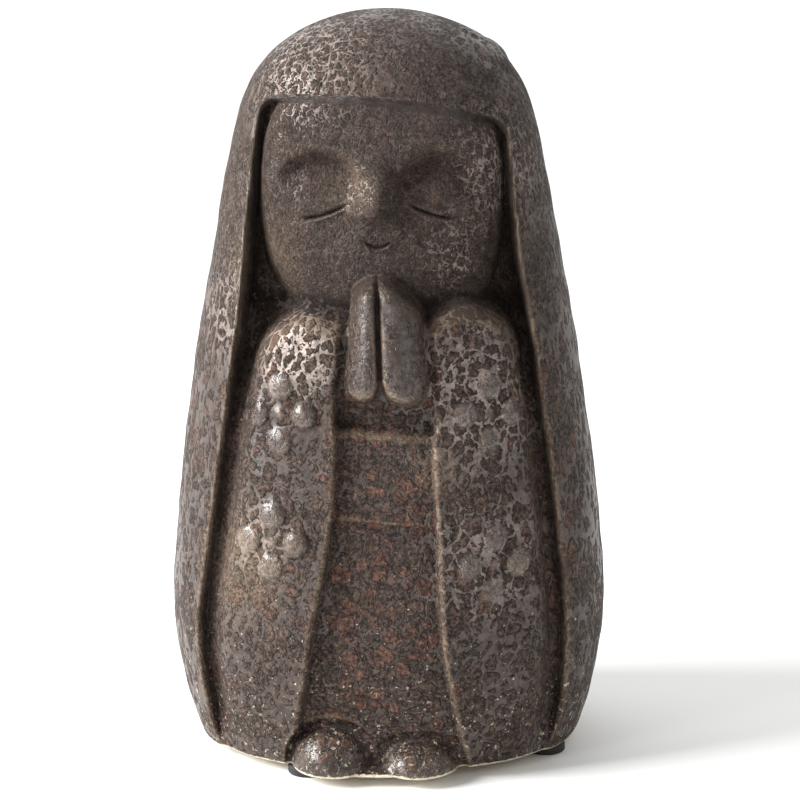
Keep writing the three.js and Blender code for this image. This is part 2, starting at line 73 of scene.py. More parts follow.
# Outline of the mantle of hair
WIDEST_Z = 40.0
BASE_HALF = 48.4
DOME_Z = 150.0
DOME_HALF = 39.2
FLANK_POWER = 1.4
TUCK_POWER = 2.2
DOME_POWER = 3.5
SECTION_POWER = 2.2

# Opening of the hair over face and robe
NECK_Z = 122.0
NECK_RATIO = 0.735
BROW_FLARE = 0.06
FOOT_FLARE = 0.105
FLARE_POWER = 1.3
FRINGE_Z = 164.5
FRINGE_PEAK = -14.0
FRINGE_BEND = 0.0033
FRINGE_CORNER = 2.5
LIP_ROLL = 2.4
LIP_WALL = 0.4
GROOVE_DEPTH = 6.0
GROOVE_FOOT = 0.3
GROOVE_RUN = 12.0
POCKET_DEPTH = 9.0
POCKET_Z = 120.0
POCKET_SPAN = 34.0
POCKET_LEAST = 0.6
POCKET_IN = 16.0
POCKET_RUN = 8.0
LEAN = 1.2
LEAN_LOW_Z = 30.0
LEAN_RUN = 40.0
LEAN_BACK = 1.5
LEAN_BACK_Z = 112.0
LEAN_BACK_RUN = 20.0

# Face
FACE_Z = 141.0
FACE_HALF = 30.0
FACE_UP = 33.0
FACE_DOWN = 40.0
FACE_ROOT = 8.0
FACE_RISE = 24.0
FACE_POWER = 2.7
CHIN_POWER = 2.1
FACE_DOME = 4.0
LID_X = 13.6
LID_Z = 137.6
LID_HALF = 9.4
LID_TALL = 10.0
LID_RISE = 0.5
LID_EDGE = 1.0
LID_STEP = 0.7
SOCKET_X = 14.2
SOCKET_Z = 145.0
SOCKET_HALF = 10.8
SOCKET_TALL = 9.2
SOCKET_SINK = 3.2
SOCKET_EDGE = 0.6
NOSE_TOP = 153.0
NOSE_TIP = 140.0
NOSE_END = 136.0
NOSE_RISE = 5.4
NOSE_HALF = 5.0
NOSE_BRIDGE = 0.8
NOSE_RIDGE = 1.8
NOSE_SLOPE = 0.55
NOSE_FILL = 0.5
EYE_INNER = 6.7
EYE_OUTER = 18.8
EYE_LOW_Z = 137.3
EYE_RISE = 3.9
EYE_BEND = 1.8
SMILE_HALF = 3.5
SMILE_Z = 130.5
SMILE_RISE = 1.7
EYE_WIDE = 0.36
EYE_TAPER = 4.0
SMILE_WIDE = 0.33
SMILE_TAPER = 3.0
SMILE_SHARE = 0.8
LINE_BEAD = 0.45
LINE_BEAD_DROP = 2.0

# Robe: two wide front panels over a recessed skirt with a sash
ROBE_GAP = 2.9
ROBE_ROLL = 4.6
ROBE_SET = 1.0
SHOULDER_Z = 101.0
SHOULDER_ROUND = 16.5
SHOULDER_TILT = 0.07
NECK_DIP = 2.5
NECK_ROLL = 6.5
NECK_HALF = 8.0
NECK_RUN = 12.0
PANEL_HALF = 11.0
PANEL_NARROW_Z = 88.0
PANEL_FLARE = 0.0042
PANEL_FLARE_POWER = 1.75
PANEL_STEP = 3.2
PANEL_ROLL = 1.8
PANEL_BEAD = 0.35
SASH_TOP = 87.0
SASH_BOTTOM = 64.7
SASH_SLOPE = -0.085
SASH_RISE = 0.8
SASH_EDGE = 1.0
SASH_BEAD = 0.5
UNDERCUT = 4.5
VALLEY_DEPTH = 2.4
VALLEY_WIDE = 1.5

# Places where the glaze has run together in glassy veins, painted paler there as a highlight where light
# glints (across, height, reach, strength)
GLOSS_AND_HIGHLIGHT_POOLS = (
    (-20.8, 107.0, 13.0, 1.0),
    (-17.0, 174.0, 20.0, 0.5),
    (-30.0, 61.0, 10.0, 0.5),
    (-38.0, 116.0, 14.0, 0.4),
    (19.0, 129.0, 11.0, 0.35),
    (30.0, 150.0, 16.0, 0.45),
    (24.0, 95.0, 22.0, 0.5),
    (26.0, 57.0, 18.0, 0.4),
)

# Places painted a sandy tan: glaze worn thin, and on the left flank of the nose and the collar painted
# light (across, height, reach, strength)
WORN_AND_LIT = (
    (-7.0, 145.0, 7.0, 0.6),
    (-30.0, 126.0, 11.0, 0.6),
    (-35.0, 54.0, 15.0, 0.6),
    (13.0, 78.0, 7.0, 0.5),
)

# Flowers on the panels (distance from the middle, height, slope), and the larger one pinned in the hair
PANEL_FLOWERS = ((25.2, 91.2, 0.0), (27.0, 57.7, -0.1))
FLOWER_LEAN = 25.0
FLOWER_RING = 6.4
PETAL_ROUND = 3.4
BUTTON_ROUND = 1.9
PETAL_WEAR = (1.0, 0.75, 0.7, 0.55)
BUTTON_WEAR = 0.45
FAR_WEAR = 0.7
PETAL_GLOSS = 2.5
HAIR_FLOWER_Z = 176.5
HAIR_FLOWER_TURN = -14.0
HAIR_FLOWER_RING = 4.6
HAIR_PETAL_ROUND = 4.2

# Hands, palms together: half-widths of the left and right hand at the heels and at the tips
HAND_BOTTOM = 92.5
HAND_TOP = 124.6
HAND_HEELS = (10.3, 12.3)
HAND_TIPS = (6.0, 10.6)
HAND_SPLIT = -0.1
HAND_LEAN = -0.035
HAND_FOOT_SLOPE = -0.06
HAND_PROUD = 3.8
HAND_SEAT = 8.5
HAND_POWER = 2.0
HAND_INNER = 2.2
HAND_TIP_ROUND = 0.08
HAND_FOOT_ROUND = 2.6
HAND_ROLL = 4.5
HAND_PART_Z = 100.0
HAND_PART_SPREAD = 0.25
HAND_PART_DEEP = 2.6
HAND_PART_RUN = 2.0
PALM_WIDE = 0.5

# Toe caps under the hem
FOOT_X = 10.5
FOOT_SHIFT = -1.8
FOOT_HALF = 10.4
FOOT_TALL = (11.6, 8.4)
FOOT_ROOT = 33.0
FOOT_SQUARE = 2.3
HEM_GAP = 1.8
HEM_EDGE = 0.125
HEM_STEP = 1.0
SOLE_TALL = 2.4
SOLE_REACH = 45.5
RIM_ROUND = 1.0

# Slow waves left by hand work
WAVE_SHARE = 0.25
WAVE_RUN = 20.0

# Rounding of edges and creases
ROLL_POWER = 2.2
BLEND = 1.0
TINY = 1e-6

# Grid of the figure's surface
FRONT_COLUMNS = 330
BACK_COLUMNS = 50
ROWS = 258
RIM_ROWS = 4
CROWN_START = 0.03
SPREAD_STEPS = 20
CARVED_SHARE = 0.85
CARVED_FADE = 0.1
CARVED_DENSITY = 1.6
FLANK_DENSITY = 0.35
PAD_COLUMNS = 64
PAD_EDGE_ROWS = 6

# Bands of the figure with closer rows (height, reach, weight)
ROW_BANDS = (
    (FOOT_TALL[0], 4.0, 1.0),
    (SASH_BOTTOM, 3.0, 1.2),
    (HAND_BOTTOM, 5.0, 1.0),
    (HAND_TOP, 4.0, 1.2),
    (SMILE_Z, 3.0, 1.6),
    (EYE_LOW_Z + EYE_RISE / 2, 5.0, 2.0),
    (FRINGE_Z, 4.0, 2.0),
)

# Windows, in rows and columns, that find edges and hollows, and their fade at the flanks
EDGE_WINDOW = (1, 2)
HOLLOW_WINDOW = (5, 10)
FLANK_FADE = 0.12

# Glaze: scales in waves to the millimetre, noise by detail and roughness, spans from none to all
SWAY_SCALE = 0.3
SWAY_NOISE = (4.0, 0.6)
SWAY_REACH = 4.5
CLOUD_SCALE = 0.09
CLOUD_SHIFT = (31.0, 7.0, 13.0)
CLOUD_SPAN = (0.34, 0.64)
SOFT_NOISE = (3.0, 0.6)
FRAY_SCALE = 0.7
FRAY_REACH = 0.45
GRAIN_SCALES = (1.05, 1.5)
GRAIN_SHIFT = (5.0, 17.0, 3.0)
CRISP_NOISE = (3.0, 0.75)
SPECKLE_SPAN = (0.36, 0.66)
MOTTLE_SCALE = 0.4
MOTTLE_NOISE = (5.0, 0.75)
MOTTLE_SHIFT = (19.0, 3.0, 8.0)
MOTTLE_SPAN = (0.34, 0.66)
SPECK_SCALE = 0.75
SPECK_SHIFT = (2.0, 9.0, 40.0)
SPECK_SPAN = (0.7, 0.76)
SPECK_TOP = 70.0
SPECK_GAIN = 0.1
HEAD_SPAN = (SHOULDER_Z + 12.0, SHOULDER_Z + 18.0)
SKIRT_SPAN = (PANEL_HALF - 1.0, PANEL_HALF + 4.0)
BARE_SPAN = (BASE_Z + 0.1, BASE_Z + 0.4)
HOLLOW_SPAN = (0.8, 3.0)
CREASE_SPAN = (0.08, 0.4)
EDGE_SPAN = (0.04, 0.3)
SANDY_SPAN = (0.5, 0.66)
RUST_SPAN = (0.35, 0.65)
POOL_SPAN = (0.05, 0.5)
FILM_SPAN = (-0.02, 0.03)
RIM_SPAN = (0.03, 0.12)
PLACE_SPAN = (0.2, 1.3)

# Glaze: widths in cells, tones as factors, and pairs for body and hair or face, or for cells and film
DRAWN = (0.85, 0.5)
HEAD_CELLS = 1.9
SKIRT_COVER = 0.3
FACE_COVER = 0.3
FILM_WIDE = 0.16
POOL_WIDE = 0.08
RIM_SHARES = (0.8, 0.35)
PLAIN_OFF_SKIRT = 0.4
PLAIN_HEAD = 0.2
GLASSY_FILM = 0.35
GLASSY_TONE = 0.82
CELL_TONES = (0.35, 1.8)
FACE_TONES = (0.5, 1.4)
FILM_TONES = (0.75, 1.25)
MOTTLE_TONES = (0.55, 1.45)
SANDY_SHARES = (0.3, 0.9)
SANDY_FACE = 0.1
WORN_SHARES = (0.2, 1.0)
GROOVE_SHADE_SHARE = 0.22
SPECK_SHARE = 0.6
BARE_ROUGHNESS = 0.85
LUMPS = (2.6, 0.3)
LUMP_STEP = 0.4
LUMP_DEPTH = 0.5
SHINES = (0.2, 0.36)
GLASSY_SHINE = 0.5

# Rubber and floor
BLOOM_SCALE = 0.6
BLOOM_SPAN = (0.35, 0.75)
RUBBER_GRAIN = 5.0
RUBBER_DEPTH = 0.05
RUBBER_ROUGHNESS = (0.6, 0.85)
FLOOR_SCALE = 0.004
FLOOR_SHADE = 0.97
FLOOR_ROUGHNESS = 0.9

# Stage, in metres, and the camera's place before its turn, in the carving's millimetres
FLOOR_HALF = 12.0
KEY_PLACE = (-0.98, -0.27, 0.62)
KEY_SIZE = 0.6
RIM_PLACE = (0.85, -0.5, 0.5)
GLINT_PLACE = (-0.75, -0.75, 0.3)
GLINT_SIZE = 0.15
BACK_PLACE = (0.0, 5.0, 3.0)
BACK_SIZE = 9.0
CAMERA_PLACE = (3.1, -600.0, 204.0)


def linear(red, green, blue):
    """Scene-linear colour of a display colour given from 0 to 255: the usual display curve undone."""
    shares = np.array((red, green, blue)) / 255
    curve = np.where(shares > 0.04045, ((shares + 0.055) / 1.055) ** 2.4, shares / 12.92)
    return tuple(float(share) for share in curve)


def smooth(t):
    """Ease from 0 to 1: t squared times three less twice t."""
    t = np.clip(t, 0, 1)
    return t * t * (3 - 2 * t)


def rolled(t):
    """Rounded edge: rises steeply from 0 and levels out at 1."""
    return 1 - (1 - np.clip(t, 0, 1)) ** ROLL_POWER


def mound(u, v):
    """Soft bump: one less the squared distance, squared, and nothing beyond distance 1."""
    return np.maximum(1 - u * u - v * v, 0) ** 2


def mix(a, b, t):
    """Straight blend from a to b."""
    return a + (b - a) * t


def smooth_max(a, b, blend=BLEND):
    """Higher of two levels, with the crease between them filled over a small width."""
    near = np.maximum(blend - np.abs(a - b), 0) / blend
    return np.maximum(a, b) + near * near * blend / 4


def half_width(z):
    """Half-width of the mantle at height z: a barrel that tucks in at the base and closes in a dome."""
    widest = WIDTH / 2
    taper = (widest - DOME_HALF) / (DOME_Z - WIDEST_Z) ** FLANK_POWER
    tuck = (widest - BASE_HALF) / (WIDEST_Z - BASE_Z) ** TUCK_POWER
    above = np.maximum(z - WIDEST_Z, 0) ** FLANK_POWER
    below = np.maximum(WIDEST_Z - z, 0) ** TUCK_POWER
    rise = np.clip((z - DOME_Z) / (HEIGHT - DOME_Z), 0, 1)
    return (widest - taper * above - tuck * below) * np.sqrt(1 - rise**DOME_POWER)


def mantle(x, z):
    """Distance of the mantle from the middle plane: a rounded section scaled to the half-width."""
    w = half_width(z)
    across = np.clip(np.abs(x) / np.maximum(w, TINY), 0, 1) ** SECTION_POWER
    return DEPTH / WIDTH * w * (1 - across) ** (1 / SECTION_POWER)


def lip_half(z):
    """Half-width of the opening in the hair: a share of the mantle's, least at the neck."""
    up = np.clip((z - NECK_Z) / (FRINGE_Z - NECK_Z), 0, 1)
    down = np.clip((NECK_Z - z) / (NECK_Z - BASE_Z), 0, 1)
    return half_width(z) * (NECK_RATIO + BROW_FLARE * up**2 + FOOT_FLARE * down**FLARE_POWER)


def fringe(x):
    """Height of the fringe's edge: a shallow arch that falls away from its peak."""
    return FRINGE_Z - FRINGE_BEND * (x - FRINGE_PEAK) ** 2


def bent(x, z):
    """Place across the carving, which leans one way at the hem, then the other, and back at the face."""
    chest = 2 * smooth((z - LEAN_LOW_Z) / LEAN_RUN) - 1
    sway = LEAN * (chest - LEAN_BACK * smooth((z - LEAN_BACK_Z) / LEAN_BACK_RUN))
    return x - sway * (1 - np.clip(x / np.maximum(half_width(z), TINY), -1, 1) ** 2)


def robe_half(z):
    """Half-width of the robe: the opening's, less the groove beside it."""
    return lip_half(z) - ROBE_GAP


def panel_inner(z):
    """Half-width between the front panels: constant, then flaring towards the hem."""
    return PANEL_HALF + PANEL_FLARE * np.maximum(PANEL_NARROW_Z - z, 0) ** PANEL_FLARE_POWER


def opening_floor(x, z):
    """Floor of the opening: set back from the mantle, least at the base and most beside the neck."""
    beside = mix(POCKET_LEAST, 1, smooth((np.abs(x) - POCKET_IN) / POCKET_RUN))
    pocket = beside * mound((z - POCKET_Z) / POCKET_SPAN, 0)
    groove = GROOVE_DEPTH * mix(GROOVE_FOOT, 1, smooth((z - BASE_Z) / GROOVE_RUN))
    return np.maximum(mantle(x, z) - groove - POCKET_DEPTH * pocket, 0)


def hair_share(x, z):
    """How far a point is up on the hair: its distance outside the opening, rolled over."""
    side = np.abs(bent(x, z)) - (lip_half(z) - LIP_WALL) + FRINGE_CORNER
    top = z - fringe(x) + FRINGE_CORNER
    corner = np.hypot(np.maximum(side, 0), np.maximum(top, 0))
    outside = corner + np.minimum(np.maximum(side, top), 0) - FRINGE_CORNER
    return rolled(outside / LIP_ROLL)


def hair(x, z):
    """Hair with a rolled lip round the opening: a blend from the opening's floor to the mantle."""
    return mix(opening_floor(x, z), mantle(x, z), hair_share(x, z))


def eye_line(side):
    """Height of a closed eye's line at a distance from the face's middle: a bent, falling curve."""
    run = np.clip((side - EYE_INNER) / (EYE_OUTER - EYE_INNER), 0, 1)
    return EYE_LOW_Z + EYE_RISE * (1 - run) ** EYE_BEND


def cut_line(lift, wide):
    """Section of a cut line: a round groove with a low bead of glaze under it."""
    return np.exp(-((lift / wide) ** 2)) - LINE_BEAD * np.exp(-((lift / wide + LINE_BEAD_DROP) ** 2))


def face(x, z, sizes):
    """Face: a rounded superellipse dome, with brow hollows, lids, nose, eye lines and smile added."""
    u = bent(x, z)
    side = np.abs(u)
    rise = z - FACE_Z
    tall = np.where(rise > 0, FACE_UP, FACE_DOWN)
    power = mix(CHIN_POWER, FACE_POWER, smooth(0.5 + rise / FACE_DOWN))
    out = (side / FACE_HALF) ** power + np.abs(rise / tall) ** power
    dome = FACE_ROOT + FACE_RISE * np.maximum(1 - out, 0) ** (1 / FACE_DOME)

    above = z - eye_line(side)
    hollow = 1 - ((side - SOCKET_X) / SOCKET_HALF) ** 2 - ((z - SOCKET_Z) / SOCKET_TALL) ** 2
    ball = 1 - ((side - LID_X) / LID_HALF) ** 2 - ((z - LID_Z) / LID_TALL) ** 2
    brow = smooth((z - EYE_LOW_Z - EYE_RISE) / SOCKET_TALL)
    socket = SOCKET_SINK * brow * smooth(hollow / SOCKET_EDGE) * (1 - smooth(ball / LID_EDGE))
    lid = LID_RISE * np.sqrt(np.maximum(ball, 0)) * smooth(above / LID_STEP)

    down = np.clip((NOSE_TOP - z) / (NOSE_TOP - NOSE_TIP), 0, 1)
    past = np.maximum((NOSE_TIP - z) / (NOSE_TIP - NOSE_END), 0)
    wide = NOSE_HALF * mix(NOSE_BRIDGE, 1, down)
    away = np.hypot(np.hypot(u, wide * past), NOSE_RIDGE) - NOSE_RIDGE
    nose = NOSE_RISE * down**NOSE_SLOPE * smooth_max(1 - away / wide, 0 * u, NOSE_FILL)

    run = (side - EYE_INNER) / (EYE_OUTER - EYE_INNER)
    eyes = sizes.line_depth * smooth(np.minimum(run, 1 - run) * EYE_TAPER) * cut_line(above, EYE_WIDE)
    share = u / SMILE_HALF
    lift = z - (SMILE_Z + SMILE_RISE * share**2)
    taper = smooth((1 - np.abs(share)) * SMILE_TAPER)
    smile = SMILE_SHARE * sizes.line_depth * taper * cut_line(lift, SMILE_WIDE)
    return np.where(out < 1, dome - socket + lid + nose - eyes - smile, 0)


def blossom(u, v, ring, round_, rise, button):
    """Flower relief at a place: the highest of worn round petals on a ring and a button between."""
    level = BUTTON_WEAR * rise * np.sqrt(mound(u / button, v / button))
    for k, wear in enumerate(PETAL_WEAR):
        turn = 2 * math.pi * k / len(PETAL_WEAR)
        apart = ((u - ring * math.cos(turn)) ** 2 + (v - ring * math.sin(turn)) ** 2) / round_**2
        level = np.maximum(level, wear * rise * np.sqrt(np.maximum(1 - apart, 0)))
    return level


def panel_flowers(x, z, sizes):
    """Flowers on both panels, measured along the panel's slanting surface."""
    lean = math.cos(math.radians(FLOWER_LEAN))
    place = bent(x, z)
    level = np.zeros_like(x)
    for across, height, slope in PANEL_FLOWERS:
        v = z - (height + slope * np.sign(x) * across)
        u = (place - np.sign(x) * across) / lean
        rise = sizes.petal_rise * np.where(x > 0, FAR_WEAR, 1)
        level = np.maximum(level, blossom(u, v, FLOWER_RING, PETAL_ROUND, rise, BUTTON_ROUND))
    return level


def toe_out(x, z, margin):
    """How far a point is out from a toe cap's middle, 1 on its outline set off by the margin."""
    right = x > FOOT_SHIFT
    tall = np.where(right, FOOT_TALL[1], FOOT_TALL[0]) + margin
    across = (np.abs(x - FOOT_SHIFT) - FOOT_X) / (FOOT_HALF + margin)
    up = np.abs((z - BASE_Z) / tall)
    return (np.abs(across) ** FOOT_SQUARE + up**FOOT_SQUARE) ** (1 / FOOT_SQUARE)


def robe(x, z, sizes):
    """Robe: rolled in from the groove beside it, stepped down between the panels, with sash and flowers."""
    side = np.abs(bent(x, z))
    shoulder_x = robe_half(SHOULDER_Z) - SHOULDER_ROUND
    neck = 1 - smooth((side - NECK_HALF) / NECK_RUN)
    over = np.maximum(z - SHOULDER_Z - SHOULDER_TILT * bent(x, z) + NECK_DIP * neck, 0)
    turned = SHOULDER_ROUND - np.hypot(np.maximum(side - shoulder_x, 0), over)
    upper = turned / mix(ROBE_ROLL, NECK_ROLL, neck)
    inside = np.where(over > 0, upper, (robe_half(z) - side) / ROBE_ROLL)
    from_panel = side - panel_inner(z)
    open_ = 1 - smooth((z - SASH_TOP) / (HAND_BOTTOM + HAND_ROLL - SASH_TOP))
    step = PANEL_STEP * (1 - rolled(from_panel / PANEL_ROLL))
    bead = PANEL_BEAD * np.exp(-(((from_panel - PANEL_ROLL) / PANEL_ROLL) ** 2))
    between = 1 - smooth(from_panel / PANEL_ROLL)
    level = z - SASH_SLOPE * x
    sash = smooth((level - SASH_BOTTOM) / SASH_EDGE) * smooth((SASH_TOP - level) / SASH_EDGE)
    hem = np.exp(-(((level - SASH_BOTTOM - SASH_EDGE) / SASH_EDGE) ** 2))
    under = UNDERCUT * smooth((level - SASH_TOP) / SASH_EDGE)
    skirt = between * (SASH_RISE * sash + SASH_BEAD * hem - under)
    beyond = np.maximum(hand_local(x, z)[1], 0)
    valley = VALLEY_DEPTH * np.exp(-((beyond / VALLEY_WIDE) ** 2)) * (1 - open_)
    top = mantle(x, z) - ROBE_SET + panel_flowers(x, z, sizes) + (skirt + bead - step) * open_ - valley
    arch = smooth((1 - toe_out(x, z, HEM_GAP)) / HEM_EDGE)
    top = mix(top, np.minimum(top, FOOT_ROOT + HEM_STEP), arch)
    return mix(opening_floor(x, z), top, rolled(inside))


def hand_local(x, z):
    """Distance from the line between the palms, how far past a hand's edge, and the hand's width."""
    t = np.clip((z - HAND_BOTTOM) / (HAND_TOP - HAND_BOTTOM), 0, 1)
    u = x - HAND_SPLIT - HAND_LEAN * (z - (HAND_BOTTOM + HAND_TOP) / 2)
    half = np.where(u < 0, mix(HAND_HEELS[0], HAND_TIPS[0], t), mix(HAND_HEELS[1], HAND_TIPS[1], t))
    return u, np.abs(u) - half, half


def hands(x, z, sizes):
    """Two hands: rounded bars side by side with a groove between, rounded tips and parted heels."""
    u, beyond, half = hand_local(x, z)
    local = 2 * np.abs(u) / half - 1
    rise = HAND_SEAT + HAND_PROUD
    share = np.clip(np.abs(u) / half, 0, 1)
    section = rise * np.maximum(1 - share**HAND_POWER, 0) ** (1 / HAND_POWER)
    inner = HAND_INNER * np.clip(-local, 0, 1) ** 2
    part = np.maximum(HAND_PART_Z - z, 0)
    groove = sizes.palm_groove * np.exp(-((u / PALM_WIDE) ** 2))
    parted = HAND_PART_DEEP * smooth(HAND_PART_SPREAD * part + 1 - np.abs(u)) * smooth(part / HAND_PART_RUN)
    bars = section - inner - np.maximum(groove, parted)
    tip = HAND_TOP - HAND_TIP_ROUND * u**2
    foot = HAND_BOTTOM + HAND_FOOT_SLOPE * u + HAND_FOOT_ROUND * local**2
    ends = rolled((tip - z) / HAND_ROLL) * rolled((z - foot) / HAND_ROLL)
    return np.where((beyond < 0) & (ends > 0), mantle(0 * x, z) - HAND_SEAT + bars * ends, 0)


def toes(x, z):
    """Toe caps: half domes that stand on the base, over a low sole that joins them."""
    caps = FOOT_ROOT + (DEPTH / 2 - FOOT_ROOT) * np.sqrt(np.maximum(1 - toe_out(x, z, 0) ** 2, 0))
    across = (x - FOOT_SHIFT) / (FOOT_X + FOOT_HALF)
    low = np.maximum(1 - across**2 - ((z - BASE_Z) / SOLE_TALL) ** 2, 0)
    sole = FOOT_ROOT + (SOLE_REACH - FOOT_ROOT) * np.sqrt(low)
    return np.maximum(np.where(caps > FOOT_ROOT, caps, 0), np.where(low > 0, sole, 0))


def carved_front(x, z, sizes):
    """Distance of the carved front from the middle plane: the highest of its forms, creases filled."""
    level = smooth_max(hair(x, z), face(x, z, sizes))
    level = smooth_max(level, robe(x, z, sizes))
    level = smooth_max(level, hands(x, z, sizes))
    return smooth_max(level, toes(x, z))


def glassy_share(x, z, sizes):
    """Where the glaze lies smooth: on hands, toe caps, petals and the beads under the eye lines."""
    level = carved_front(x, z, sizes)
    smooth_forms = np.maximum(hands(x, z, sizes), toes(x, z))
    petals = smooth(PETAL_GLOSS * panel_flowers(x, z, sizes) / sizes.petal_rise)
    share = np.maximum(smooth(1 - (level - smooth_forms) / BLEND), petals)
    side = np.abs(bent(x, z))
    lift = (z - eye_line(side)) / EYE_WIDE + LINE_BEAD_DROP
    bead = np.exp(-(lift**2)) * (side > EYE_INNER) * (side < EYE_OUTER)
    return np.maximum(share, bead)


def spread(low, high, count, density):
    """Places between two ends, closer together where the density is higher, by its running sum."""
    fine = np.linspace(low, high, SPREAD_STEPS * count)
    total = np.concatenate([[0], np.cumsum((density(fine[1:]) + density(fine[:-1])) / 2)])
    return np.interp(np.linspace(0, total[-1], count), total, fine)


def row_heights():
    """Heights of the rows: round the rim, then even along the outline and closer at level edges."""
    span = HEIGHT - BASE_Z - RIM_ROUND

    def height(t):
        return HEIGHT - span * t**2

    def density(t):
        z = height(t)
        near = 1 + sum(weight * np.exp(-(((z - mark) / width) ** 2)) for mark, width, weight in ROW_BANDS)
        step = 1e-4
        climb = height(t + step) - height(t - step)
        widen = half_width(height(t + step)) - half_width(height(np.maximum(t - step, 0)))
        return near * np.hypot(climb, widen)

    bends = np.linspace(math.pi / 2, 0, RIM_ROWS + 1)[:-1]
    rim = BASE_Z + RIM_ROUND * (1 - np.sin(bends))
    return np.concatenate([rim, height(spread(CROWN_START, 1, ROWS - RIM_ROWS, density))[::-1]])


def column_shares():
    """Shares of the half-width for the columns of the front: closest over the carving."""

    def density(angle):
        carved = smooth((CARVED_SHARE - np.abs(np.sin(angle))) / CARVED_FADE)
        return np.cos(angle) * mix(1, CARVED_DENSITY, carved) + FLANK_DENSITY

    return np.sin(spread(-math.pi / 2, math.pi / 2, FRONT_COLUMNS, density))


def wave(points, along, start, weight=1.0):
    """Wave over the points: a sine of the distance along a direction, in radians to the millimetre."""
    return weight * np.sin(np.tensordot(along, points, 1) + start)


def uneven(points, sizes):
    """Hand-worked unevenness: slow crossing waves, the first two bent by slower ones."""
    bend = wave(points, (0.0, 0.0, 0.11), 0.0, 0.9)
    cross = wave(points, (0.17, 0.13, 0.0), 0.0, 0.7)
    waves = (
        wave(points, (0.23, 0.0, 0.0), 1.1 + bend)
        + wave(points, (0.0, 0.0, 0.19), cross)
        + wave(points, (0.0, 0.31, -0.12), 2.0)
        + wave(points, (0.47, 0.0, -0.39), 0.5, 0.7)
        + wave(points, (0.42, 0.35, 0.61), 0.0, 0.6)
    )
    return WAVE_SHARE * sizes.unevenness * waves


def mantle_slopes(x, z):
    """Slopes of the mantle across and up at a place, from short steps to either side."""
    step = 0.5
    across = mantle(x + step, z) - mantle(x - step, z)
    up = mantle(x, z + step) - mantle(x, z - step)
    return across / (2 * step), up / (2 * step)


def hair_flower(points, sizes):
    """The flower pinned in the hair, raised along the mantle's own direction out of its surface."""
    across = half_width(HAIR_FLOWER_Z) * math.cos(math.radians(HAIR_FLOWER_TURN))
    centre = np.array((across, -mantle(across, HAIR_FLOWER_Z), HAIR_FLOWER_Z))
    slope_x, slope_z = mantle_slopes(across, HAIR_FLOWER_Z)
    out = np.array((-slope_x, -1, -slope_z))
    out /= np.linalg.norm(out)
    level = np.cross((0, 0, 1), out)
    level /= np.linalg.norm(level)
    up = np.cross(out, level)
    apart = points - centre[:, None, None]
    u = np.tensordot(level, apart, 1)
    v = np.tensordot(up, apart, 1)
    near = np.abs(np.tensordot(out, apart, 1)) < 2 * HAIR_FLOWER_RING
    petals = blossom(u, v, HAIR_FLOWER_RING, HAIR_PETAL_ROUND, sizes.hair_petal_rise, BUTTON_ROUND)
    return out[:, None, None] * np.where(near, petals, 0)


def figure_grid(sizes):
    """Points of the figure on a grid of rows and columns: carved front, plain back, rounded rim."""
    heights = row_heights()
    shares = column_shares()
    z = heights[:, None] + 0 * shares[None, :]
    w = half_width(z)
    x = w * shares[None, :]
    front = np.stack([x, -carved_front(x, z, sizes), z])
    turns = np.linspace(0, math.pi, BACK_COLUMNS + 2)[1:-1]
    back_z = heights[:, None] + 0 * turns[None, :]
    back_x = half_width(back_z) * np.cos(turns)[None, :]
    back = np.stack([back_x, mantle(back_x, back_z), back_z])
    body = np.concatenate([front, back], axis=2)
    body = body + hair_flower(body, sizes)
    reach = np.maximum(np.hypot(body[0], body[1]), 1)
    body[:2] *= 1 + uneven(body, sizes) / reach * smooth(reach / WAVE_RUN)
    under = np.clip((BASE_Z + RIM_ROUND - heights) / RIM_ROUND, 0, 1)
    inset = RIM_ROUND * (1 - np.sqrt(1 - under**2))
    body[:2] *= 1 - inset[:, None] / reach
    return body


def box_blur(grid, rows, columns):
    """Mean over a window of rows and columns, from running sums; columns close round the figure."""
    wide = np.concatenate([grid[..., -columns:], grid, grid[..., :columns]], axis=-1)
    sums = np.cumsum(np.concatenate([0 * wide[..., :1], wide], axis=-1), axis=-1)
    across = (sums[..., 2 * columns + 1 :] - sums[..., : -2 * columns - 1]) / (2 * columns + 1)
    ends = ((0, 0),) * (across.ndim - 2)
    tall = np.pad(across, (*ends, (rows, rows), (0, 0)), mode="edge")
    sums = np.cumsum(np.concatenate([0 * tall[..., :1, :], tall], axis=-2), axis=-2)
    return (sums[..., 2 * rows + 1 :, :] - sums[..., : -2 * rows - 1, :]) / (2 * rows + 1)


def grid_normals(grid):
    """Outward directions on the grid: the cross product of its column and row steps."""
    along = np.roll(grid, -1, axis=2) - np.roll(grid, 1, axis=2)
    up = np.gradient(grid, axis=1)
    normals = np.cross(along, up, axis=0)
    return normals / np.maximum(np.linalg.norm(normals, axis=0), TINY)


def proud(grid, normals, rows, columns):
    """How far the surface stands proud of its blurred self, in millimetres; grooves are negative."""
    smeared = box_blur(box_blur(grid, rows, columns), rows, columns)
    return np.sum((grid - smeared) * normals, axis=0)


def closed_mesh(name, grid, low, high):
    """Mesh from a grid of points closed round its columns, each end drawn together at a point."""
    rows, columns = grid.shape[1:]
    points = np.concatenate([grid.reshape(3, -1).T, [low, high]]) * MM
    index = np.arange(rows * columns).reshape(rows, columns)
    after = np.roll(index, -1, axis=1)
    quads = np.stack([index[:-1], after[:-1], after[1:], index[1:]], axis=-1).reshape(-1, 4)
    foot = np.stack([after[0], index[0], np.full(columns, rows * columns)], axis=-1)
    top = np.stack([index[-1], after[-1], np.full(columns, rows * columns + 1)], axis=-1)
    mesh = bpy.data.meshes.new(name)
    mesh.from_pydata(points.tolist(), [], quads.tolist() + foot.tolist() + top.tolist())
    mesh.polygons.foreach_set("use_smooth", np.ones(len(mesh.polygons), bool))
    mesh.update()
    return mesh


